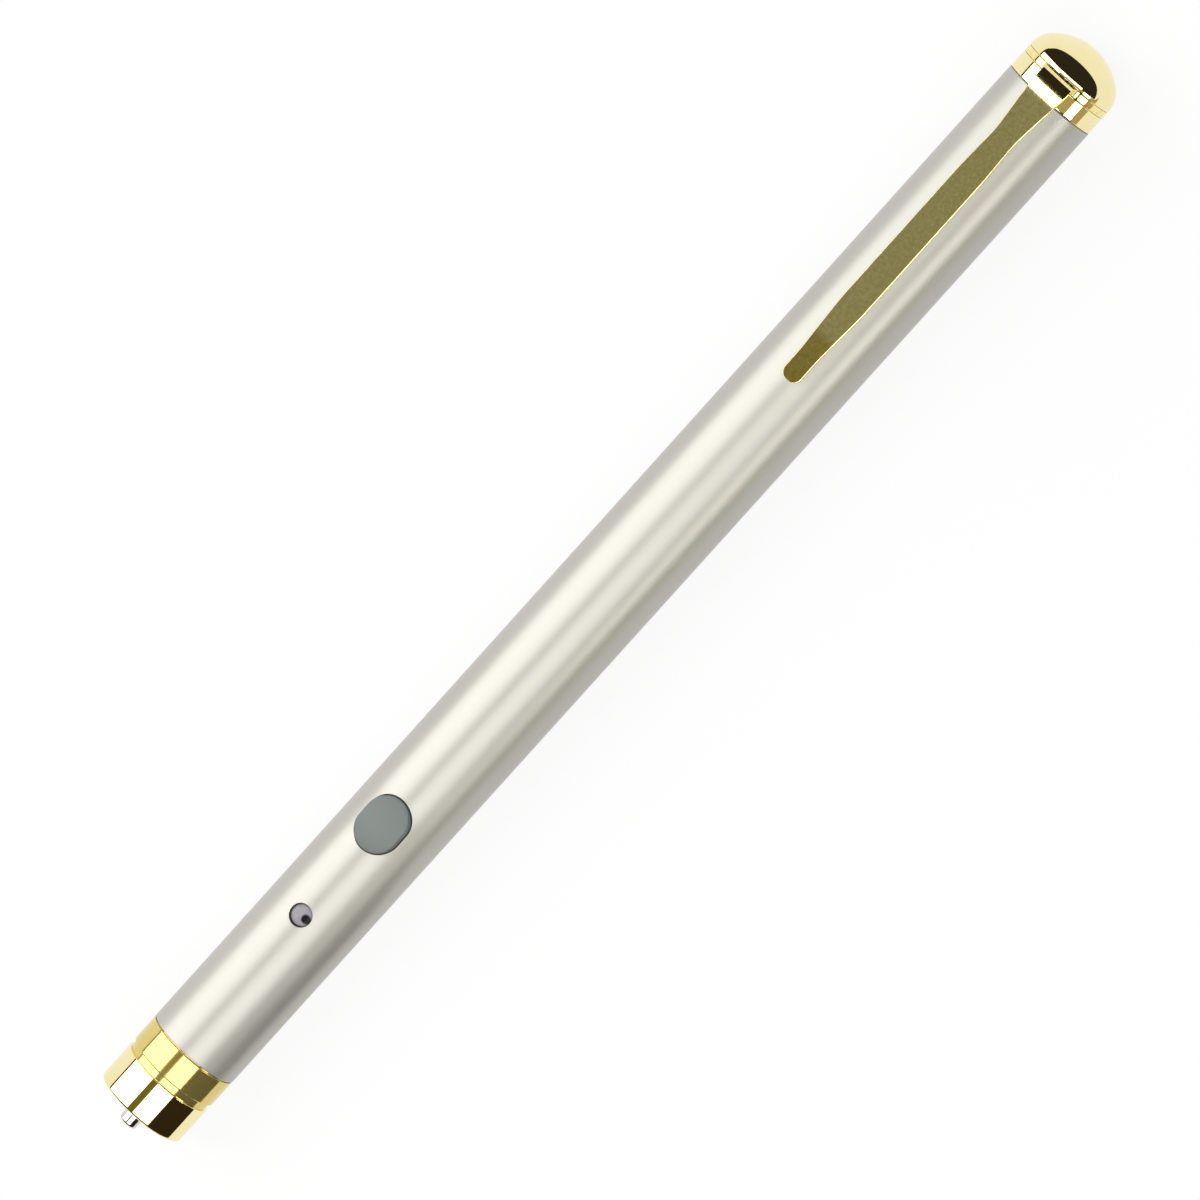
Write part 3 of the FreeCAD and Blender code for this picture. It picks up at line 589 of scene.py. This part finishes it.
def makeSpring(name, node, turns, wire):
    low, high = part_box(node)
    sizes = {"Turns": turns, "Radius": (high.z - low.z) / 2 - wire, "Length": high.x - low.x - 2 * wire,
             "Wire": wire, "Start": low.x + wire, "Height": axisHeight,
             "Steps": springs["steps"], "Sides": springs["sides"]}
    return makeCoil(name, sizes, finishes["spring_steel"])


dress(makeSpring("batterySpring", "battery_spring", springs["batteryTurns"], springs["batteryWire"]),
      "spring_carriage", "spring_steel", "battery_spring")
dress(makeSpring("focusSpring", "focus_spring", springs["focusTurns"], springs["focusWire"]),
      "barrel_body", "spring_steel", "focus_spring")
print("springs made")


# Tail cap: plug with its thread and seal, ring of the clip, dome

tail = {"edge": 0.12 * mm, "spigotGap": 0.05 * mm, "faceGap": 0.05 * mm, "press": 0.02 * mm,
        "pocket": 3.95 * mm, "web": 1.95 * mm, "stud": 2.5 * mm, "ringGap": 0.05 * mm, "lead": 0.1 * mm,
        "groove": 1.1 * mm, "grooveDepth": 0.85 * mm, "grooveEdge": 0.05 * mm, "setback": 0.3 * mm,
        "pitch": 0.75 * mm, "threadDepth": 0.42 * mm, "runout": 0.5 * mm, "threadEnd": 0.6 * mm,
        "ridge": 0.62, "threadSteps": 96, "threadSides": 4, "sealWire": 0.42 * mm, "sealSteps": 20,
        "domeLand": 0.2 * mm, "domeHigh": 4.55 * mm, "shoulder": 3.4 * mm, "domeEdge": 0.096 * mm,
        "domeSteps": 14}
plugLow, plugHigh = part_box("tail_plug")
domeLow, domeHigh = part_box("tail_dome")
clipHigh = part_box("clip")[1]
plugFace = barrelHigh.x + tail["faceGap"]
spigotRadius = penRadius - barrel["wall"] - tail["spigotGap"]
grooveBack = plugFace - tail["faceGap"] - tail["setback"]
grooveFront = grooveBack - tail["groove"]


def makePlug():
    root, groove = spigotRadius - tail["threadDepth"], spigotRadius - tail["grooveDepth"]
    runout, edge = grooveFront - tail["runout"], tail["grooveEdge"]
    hole = tail["stud"] + tail["press"]
    floor = plugHigh.x - tail["web"]
    return spin("plugShell", [(plugLow.x, tail["pocket"], 0), (plugLow.x, root, tail["lead"]),
                              (runout, root, 0), (runout, spigotRadius, edge),
                              (grooveFront, spigotRadius, edge),
                              (grooveFront, groove, edge), (grooveBack, groove, edge),
                              (grooveBack, spigotRadius, edge), (plugFace, spigotRadius, 0),
                              (plugFace, penRadius, tail["edge"]), (plugHigh.x, penRadius, tail["edge"]),
                              (plugHigh.x, hole, 0), (floor, hole, 0), (floor, tail["pocket"], 0)])


def makeThread():
    room = grooveFront - tail["threadEnd"] - plugLow.x
    half = tail["threadDepth"] * tail["ridge"]
    turns = math.floor((room - 2 * half) / tail["pitch"])
    sizes = {"Turns": float(turns), "Radius": spigotRadius - half, "Length": turns * tail["pitch"],
             "Wire": half, "Start": plugLow.x + half, "Height": axisHeight,
             "Steps": tail["threadSteps"], "Sides": tail["threadSides"]}
    return makeCoil("plugThread", sizes, finishes["gold_plate"])


def makeSeal():
    wire, middle = tail["sealWire"], (grooveFront + grooveBack) / 2
    ring = spigotRadius - tail["grooveDepth"] + wire
    corners = []
    for step in range(tail["sealSteps"]):
        turn = 2 * math.pi * step / tail["sealSteps"]
        corners.append((middle + wire * math.sin(turn), ring + wire * math.cos(turn), 0))
    return spin("sealRing", corners, steps=128)


def makeDome():
    face, steps = clipHigh.x + tail["press"], tail["domeSteps"]
    base, tip, shoulder, height = face + tail["domeLand"], domeHigh.x, tail["shoulder"], tail["domeHigh"]
    crown = (height ** 2 + penRadius ** 2 - 2 * penRadius * shoulder) / 2 / (height - shoulder)
    shoulderCentre, crownCentre = Vector((base, penRadius - shoulder)), Vector((tip - crown, 0))
    joint = abs((shoulderCentre - crownCentre).angle_signed(Vector((1, 0))))
    points = []
    for step in range(steps + 1):
        turn = math.pi / 2 + (joint - math.pi / 2) * step / steps
        points.append(shoulderCentre + shoulder * Vector((math.cos(turn), math.sin(turn))))
    for step in range(1, steps + 1):
        turn = joint * (1 - step / steps)
        points.append(crownCentre + crown * Vector((math.cos(turn), math.sin(turn))))
    corners = [(domeLow.x, 0, 0), (domeLow.x, tail["stud"], tail["lead"]), (face, tail["stud"], 0),
               (face, penRadius, tail["domeEdge"]), *[(point.x, max(point.y, 0), 0) for point in points]]
    return spin("capDome", corners, steps=192)


dress(makePlug(), "tail_cap", "gold_plate", "tail_plug")
dress(makeThread(), "tail_cap", "gold_plate")
dress(makeSeal(), "tail_cap", "seal_rubber", "tail_seal")
dress(makeDome(), "tail_cap", "gold_plate", "tail_dome")
print("tail cap made")


# Clip: one sheet, with its ring, flared riser, root bend and tapered blade

clip = {"sheet": 0.95 * mm, "bend": 0.55 * mm, "rootRise": 2.2 * mm, "toeRise": 1.75 * mm,
        "toeGap": 0.15 * mm, "reach": 48.3 * mm, "toeLong": 7.2 * mm, "kneeRadius": 21.6 * mm,
        "rootHalf": 2.25 * mm, "fillet": 1.1 * mm, "toeCorner": 1.1 * mm, "edge": 0.08 * mm,
        "keenEdge": 0.02 * mm, "clock": 4.8,  # degrees round the pen
        "crestLong": 3.0 * mm, "crestDrop": 8.0, "softStep": 0.25 * mm, "softCount": 4,
        "bendSteps": 12, "bladeSteps": 40, "kneeSteps": 8, "toeSteps": 30,
        "toeWidths": [(0, 1.3), (4.2, 1.3), (11.5, 1.75)],  # half widths, mm from the toe's end
        "rootWidths": [(-14.6, 1.75), (-8.9, 1.5), (-1.0, 2.25), (0.95, 2.25)]}  # mm from the ring
ringFace = clipHigh.x - clip["sheet"]
toeEnd = ringFace - clip["reach"]
widths = [(toeEnd + along * mm, out * mm) for along, out in clip["toeWidths"]]
widths += [(ringFace + along * mm, out * mm) for along, out in clip["rootWidths"]]
sheetHalf = clip["sheet"] / 2
toeHeight = penRadius + clip["toeGap"] + sheetHalf  # heights of the sheet's middle, from the pen's axis
bladeHeight = penRadius + clip["toeRise"] - sheetHalf
rootHeight = penRadius + clip["rootRise"] - sheetHalf
filletAside = clip["rootHalf"] + clip["fillet"]  # centre of the hollow corner between riser and ring
filletUp = math.sqrt((penRadius + clip["fillet"]) ** 2 - filletAside ** 2)


def plainWidth(x):
    for (lowX, lowOut), (highX, highOut) in zip(widths, widths[1:]):
        if x <= highX:
            share = min(max((x - lowX) / (highX - lowX), 0), 1)
            return lowOut + (highOut - lowOut) * share
    return widths[-1][1]


def bladeHalf(x):  # softened half width, with the toe's rounded corners
    count, corner, inset = clip["softCount"], clip["toeCorner"], x - toeEnd
    soft = sum(plainWidth(x + step * clip["softStep"]) for step in range(-count, count + 1)) / (2 * count + 1)
    if inset < corner:
        soft += math.sqrt(max(corner ** 2 - (corner - inset) ** 2, 0)) - corner
    return soft


def riserHalf(height):  # flares into the ring with a hollow corner on each side
    if height >= filletUp:
        return clip["rootHalf"]
    return filletAside - math.sqrt(max(clip["fillet"] ** 2 - (filletUp - height) ** 2, 0))


def rootPath():  # (x, height, heading, half width) up the riser, round the root bend and over the crest
    steps, riserX, bend = clip["bendSteps"], ringFace + sheetHalf, clip["bend"] + sheetHalf
    onRing = filletUp * penRadius / (penRadius + clip["fillet"])
    crestDrop = math.radians(clip["crestDrop"])
    drop = clip["crestLong"] * math.tan(crestDrop / 2)  # the blade's crest lies just ahead of the root bend
    bendCentre = Vector((riserX - bend, rootHeight - drop - bend))
    path = []
    for step in range(steps + 1):
        height = onRing + (bendCentre.y - onRing) * step / steps
        path.append((riserX, height, math.pi / 2, riserHalf(height)))
    for step in range(1, steps + 1):
        turn = (math.pi / 2 - crestDrop) * step / steps
        x, height = bendCentre.x + bend * math.cos(turn), bendCentre.y + bend * math.sin(turn)
        path.append((x, height, math.pi / 2 + turn, bladeHalf(x)))
    foot = Vector(path[-1][:2])
    slopeIn = math.atan2(rootHeight - bladeHeight, ringFace - toeEnd - clip["toeLong"])
    crestRadius = clip["crestLong"] / (math.sin(crestDrop) + math.sin(slopeIn))
    for step in range(1, steps + 1):
        tilt = -crestDrop + (crestDrop + slopeIn) * step / steps
        x = foot.x - crestRadius * (math.sin(tilt) + math.sin(crestDrop))
        height = foot.y + crestRadius * (math.cos(tilt) - math.cos(crestDrop))
        path.append((x, height, math.pi + tilt, bladeHalf(x)))
    return path


def bladePath(start):  # the same, along the blade, round the knee and down the toe
    knee, kneeRadius = Vector((toeEnd + clip["toeLong"], bladeHeight)), clip["kneeRadius"]
    slope = math.atan2(start.y - knee.y, start.x - knee.x)
    dive = math.atan2(bladeHeight - toeHeight, clip["toeLong"])
    reach = kneeRadius * math.tan((dive - slope) / 2)
    kneeStart = knee + reach * Vector((math.cos(slope), math.sin(slope)))
    path = []
    for step in range(1, clip["bladeSteps"] + 1):
        point = start.lerp(kneeStart, step / clip["bladeSteps"])
        path.append((point.x, point.y, math.pi + slope, bladeHalf(point.x)))
    for step in range(1, clip["kneeSteps"] + 1):
        tilt = slope + (dive - slope) * step / clip["kneeSteps"]
        swing = Vector((math.sin(tilt) - math.sin(slope), math.cos(slope) - math.cos(tilt)))
        point = kneeStart - kneeRadius * swing
        path.append((point.x, point.y, math.pi + tilt, bladeHalf(point.x)))
    last = Vector(path[-1][:2])
    for step in range(1, clip["toeSteps"] + 1):  # closer together at the rounded end
        x = last.x - (last.x - toeEnd) * math.sin(math.pi / 2 * step / clip["toeSteps"])
        path.append((x, last.y - (last.x - x) * math.tan(dive), math.pi + dive, bladeHalf(x)))
    return path


def makeClip():
    path = rootPath()
    path += bladePath(Vector(path[-1][:2]))
    half, edge, keen = sheetHalf, clip["edge"], clip["keenEdge"]
    rings = []
    for x, height, heading, out in path:
        normal = Vector((-math.sin(heading), math.cos(heading)))  # towards the sheet's inner face
        corners = [(-out, -half, edge), (out, -half, keen), (out, half, edge), (-out, half, edge)]
        rings.append([(x + normal.x * through, across, height + normal.y * through)
                      for across, through in roundedCorners(corners, arcSteps=4)])
    blade = stackRings("clipBlade", rings)
    hole = tail["stud"] + tail["ringGap"]
    ring = spin("clipRing", [(ringFace, hole, 0), (ringFace, penRadius, tail["edge"]),
                             (clipHigh.x, penRadius, tail["edge"]), (clipHigh.x, hole, 0)])
    turned = Matrix.Rotation(math.radians(clip["clock"]), 4, "X")
    blade.data.transform(Matrix.Translation((0, 0, axisHeight)) @ turned)
    return finishMesh("pocketClip", takeMeshes(blade, ring))


dress(makeClip(), "tail_cap", "gold_plate", "clip", material=clipGold)
print("clip made")


# Pieces that stay as the frame has them take their slot's finish

slots = {row["node"]: row["material_slot"] for row in frame["record"]["subparts"]}
for node, piece in frame["nodes"].items():
    piece.data.materials.clear()
    piece.data.materials.append(finishes[slots[node]])
print("frame's pieces finished")


# Floor, light and camera

studio = {"floorHalf": 6.0, "floor": (0.86, 0.86, 0.85), "worldLight": 0.15, "floorGlow": 0.88,
          "boxFar": 0.75, "boxGlow": 3.0, "boxFront": -0.5, "boxSplit": -0.13, "boxRear": 0.19,
          "gapStart": -0.002, "gapEnd": 0.10, "bridgeStart": 0.08,  # along the pen from its middle
          "wideAngles": (11, 76), "narrowAngles": (-50, -4), "middleAngles": (-43, -4),
          "bridgeAngles": (-4, 11)}  # round the pen, as for aroundPen
penMiddle = Vector(((cadBox[0].x + cadBox[1].x) / 2, 0, axisHeight))


def plane(name, corners):
    bm = bmesh.new()
    bm.faces.new([bm.verts.new(corner) for corner in corners])
    mesh = bpy.data.meshes.new(name)
    bm.to_mesh(mesh)
    bm.free()
    return addObject(name, mesh)


def bareMaterial(name):  # with nothing but its output
    material = bpy.data.materials.new(name)
    material.use_nodes = True
    material.node_tree.nodes.remove(material.node_tree.nodes["Principled BSDF"])
    return material, material.node_tree


def greater(tree, first, second):
    made = tree.nodes.new("ShaderNodeMath")
    made.operation = "MAXIMUM"
    tree.links.new(first, made.inputs[0])
    tree.links.new(second, made.inputs[1])
    return made.outputs[0]


def seenDirectly(tree):  # 1 for rays from the camera, off a shiny surface or through glass, else 0
    ray = tree.nodes.new("ShaderNodeLightPath").outputs
    either = greater(tree, ray["Is Camera Ray"], ray["Is Glossy Ray"])
    return greater(tree, either, ray["Is Transmission Ray"])


def mixInto(tree, share, plain, seen, output):
    mix = tree.nodes.new("ShaderNodeMixShader")
    tree.links.new(share, mix.inputs["Fac"])
    tree.links.new(plain.outputs[0], mix.inputs[1])
    tree.links.new(seen.outputs[0], mix.inputs[2])
    tree.links.new(mix.outputs[0], tree.nodes[output].inputs["Surface"])


def makeFloor():
    far = studio["floorHalf"]
    floor = plane("floor", [(-far, -far, 0), (far, -far, 0), (far, far, 0), (-far, far, 0)])
    material, tree = bareMaterial("paleFloor")
    matt = tree.nodes.new("ShaderNodeBsdfDiffuse")
    matt.inputs["Color"].default_value = (*studio["floor"], 1)
    glow = tree.nodes.new("ShaderNodeEmission")
    glow.inputs["Strength"].default_value = 1.0
    share = tree.nodes.new("ShaderNodeMath")
    share.operation = "MULTIPLY"
    share.inputs[1].default_value = studio["floorGlow"]  # the rest keeps the shadow
    tree.links.new(seenDirectly(tree), share.inputs[0])
    mixInto(tree, share.outputs[0], matt, glow, "Material Output")
    floor.data.materials.append(material)


def makeWorld():
    world = bpy.data.worlds.new("paleRoom")
    bpy.context.scene.world = world
    world.use_nodes = True
    tree = world.node_tree
    lit, seen = tree.nodes["Background"], tree.nodes.new("ShaderNodeBackground")
    for shader, strength in ((lit, studio["worldLight"]), (seen, 1.0)):
        shader.inputs["Color"].default_value = (1, 1, 1, 1)
        shader.inputs["Strength"].default_value = strength
    mixInto(tree, seenDirectly(tree), lit, seen, "World Output")


# Cards round the pen, with angles in degrees and each colour as the light it sends

cards = {"half": 7.0, "ceilingHeight": 1.3, "ceiling": (0.026, 0.022, 0.016), "wallStart": 0.4,
         "stripFront": -1.2, "frameAngles": (77.5, 81.0), "frameFar": 0.9, "frameRear": 0.5,
         "frame": (0.045, 0.035, 0.018), "gapAngles": (-4.5, 11.5), "gapFar": 0.76,
         "gapFront": (0.17, 0.142, 0.03), "gapRear": (0.26, 0.26, 0.22), "fade": (-0.22, -0.10),
         "rearGapAngles": (-57.5, -4.5), "rearGap": (0.45, 0.36, 0.18),
         "sideOut": -0.6, "sideFront": -1.5, "sideRear": 0.10, "sideAngles": (52, 58, 79),
         "boxStart": -0.105, "flagSplit": -0.02, "flag": (0.030, 0.020, 0.010),
         "middleFlag": (0.16, 0.14, 0.10), "rearBox": (4.9, 4.9, 4.65), "footHeight": 2e-4,
         "footSplit": -0.05, "frontFootNear": -0.022, "rearFootNear": -0.06}


def mirrorCard(name, corners, glow, glowRear=None):  # seen only in the polished metal
    card = plane(name, corners)
    material, tree = bareMaterial(name)
    shine = tree.nodes.new("ShaderNodeEmission")
    shine.inputs["Color"].default_value = (*glow, 1)
    if glowRear:
        where = tree.nodes.new("ShaderNodeTexCoord")
        split = tree.nodes.new("ShaderNodeSeparateXYZ")
        tree.links.new(where.outputs["Object"], split.inputs["Vector"])
        along = spread(tree, split.outputs["X"], 0, 1, *cards["fade"])
        tree.links.new(tint(tree, along, glow, glowRear), shine.inputs["Color"])
    tree.links.new(shine.outputs[0], tree.nodes["Material Output"].inputs["Surface"])
    card.data.materials.append(material)
    for ray in ("camera", "diffuse", "shadow", "transmission", "volume_scatter"):
        setattr(card, "visible_" + ray, False)


def aroundPen(degrees, far, along):  # a place at an angle round the pen from +Z towards +Y
    turn = math.radians(degrees)
    return penMiddle + Vector((along, far * math.sin(turn), far * math.cos(turn)))


def stripCard(name, angles, far, low, high, glow, glowRear=None):
    first, last = angles
    mirrorCard(name, [aroundPen(first, far, low), aroundPen(first, far, high),
                      aroundPen(last, far, high), aroundPen(last, far, low)], glow, glowRear)


def flatCard(name, low, high, near, out, level, glow):
    mirrorCard(name, [(low, near, level), (high, near, level), (high, out, level), (low, out, level)], glow)


def uprightCard(name, low, high, out, bottom, top, glow):
    mirrorCard(name, [(low, out, bottom), (high, out, bottom), (high, out, top), (low, out, top)], glow)


def makeMirrorCards():
    far, high, strip = cards["half"], cards["ceilingHeight"], cards["stripFront"]
    flatCard("darkCeiling", -far, far, far, -far, high, cards["ceiling"])
    stripCard("frameEdge", cards["frameAngles"], cards["frameFar"], strip, cards["frameRear"], cards["frame"])
    stripCard("boxGap", cards["gapAngles"], cards["gapFar"], strip, studio["bridgeStart"],
              cards["gapFront"], cards["gapRear"])
    stripCard("rearGap", cards["rearGapAngles"], cards["gapFar"], studio["gapStart"], studio["gapEnd"],
              cards["rearGap"])
    out, front, rear, foot = cards["sideOut"], cards["sideFront"], cards["sideRear"], cards["footHeight"]
    flatCard("frontFoot", front, cards["footSplit"], cards["frontFootNear"], out, foot, cards["flag"])
    flatCard("rearFoot", cards["footSplit"], rear, cards["rearFootNear"], out, foot, cards["rearGap"])
    # three-cornered, its lower edge rising towards +Y
    mirrorCard("backWall", [(far, -far, 0), (far, far, high), (far, -far, high)], cards["ceiling"])
    uprightCard("sideWall", cards["wallStart"], far, -far, 0, high, cards["ceiling"])
    start, split = cards["boxStart"], cards["flagSplit"]
    turns = [math.radians(angle) for angle in cards["sideAngles"]]
    flagTop, boxTop, boxLow = [axisHeight - out / math.tan(turn) for turn in turns]
    uprightCard("frontFlag", front, start, out, 0, flagTop, cards["flag"])
    uprightCard("middleFlag", start, split, out, 0, boxLow, cards["middleFlag"])
    uprightCard("rearFlag", split, rear, out, 0, boxLow, cards["rearGap"])
    uprightCard("rearBox", start, rear, out, boxLow, boxTop, cards["rearBox"])


def softBox(name, angles, alongLow, alongHigh, mirrored=True):
    low, high = angles
    data = bpy.data.lights.new(name, "AREA")
    data.shape = "RECTANGLE"
    data.size = alongHigh - alongLow
    data.size_y = 2 * studio["boxFar"] * math.tan(math.radians(high - low) / 2)
    data.energy = studio["boxGlow"] * math.pi * data.size * data.size_y
    box = addObject(name, data)
    angle = math.radians((low + high) / 2)
    along, outward = Vector((1, 0, 0)), Vector((0, math.sin(angle), math.cos(angle)))
    middle = penMiddle + outward * studio["boxFar"] + along * (alongLow + alongHigh) / 2
    facing = Matrix((along, outward.cross(along), outward)).transposed().to_4x4()
    box.matrix_world = Matrix.Translation(middle) @ facing
    box.visible_glossy = mirrored


def makeCamera():
    view = {"azimuth": 37.2, "elevation": 75.5, "far": 1.08, "lens": 265, "penUp": 47.96,
            "right": 0.63 * mm, "up": 0.9 * mm, "nearest": 0.01}
    around, above = math.radians(view["azimuth"]), math.radians(view["elevation"])
    back = Vector((math.sin(around) * math.cos(above), -math.cos(around) * math.cos(above), math.sin(above)))
    penWay = (Vector((1, 0, 0)) - back * back.x).normalized()
    crossWay = back.cross(penWay)
    tilt = math.radians(view["penUp"])  # how far the pen is turned up from level
    right = penWay * math.cos(tilt) - crossWay * math.sin(tilt)
    up = penWay * math.sin(tilt) + crossWay * math.cos(tilt)
    data = bpy.data.cameras.new("camera")
    data.lens = view["lens"]
    data.clip_start = view["nearest"]
    camera = addObject("camera", data)
    place = penMiddle - right * view["right"] - up * view["up"] + back * view["far"]
    camera.matrix_world = Matrix.Translation(place) @ Matrix((right, up, back)).transposed().to_4x4()
    bpy.context.scene.camera = camera


makeFloor()
makeWorld()
makeMirrorCards()
softBox("wideBox", studio["wideAngles"], studio["boxFront"], studio["boxRear"])
softBox("narrowBox", studio["narrowAngles"], studio["boxFront"], studio["boxSplit"])
softBox("middleBox", studio["middleAngles"], studio["boxSplit"], studio["gapStart"])
softBox("fillBox", studio["middleAngles"], studio["gapStart"], studio["gapEnd"], mirrored=False)
softBox("backBox", studio["narrowAngles"], studio["gapEnd"], studio["boxRear"])
softBox("bridgeBox", studio["bridgeAngles"], studio["bridgeStart"], studio["boxRear"])
makeCamera()
bpy.context.scene.view_settings.view_transform = "Standard"
print("studio made")
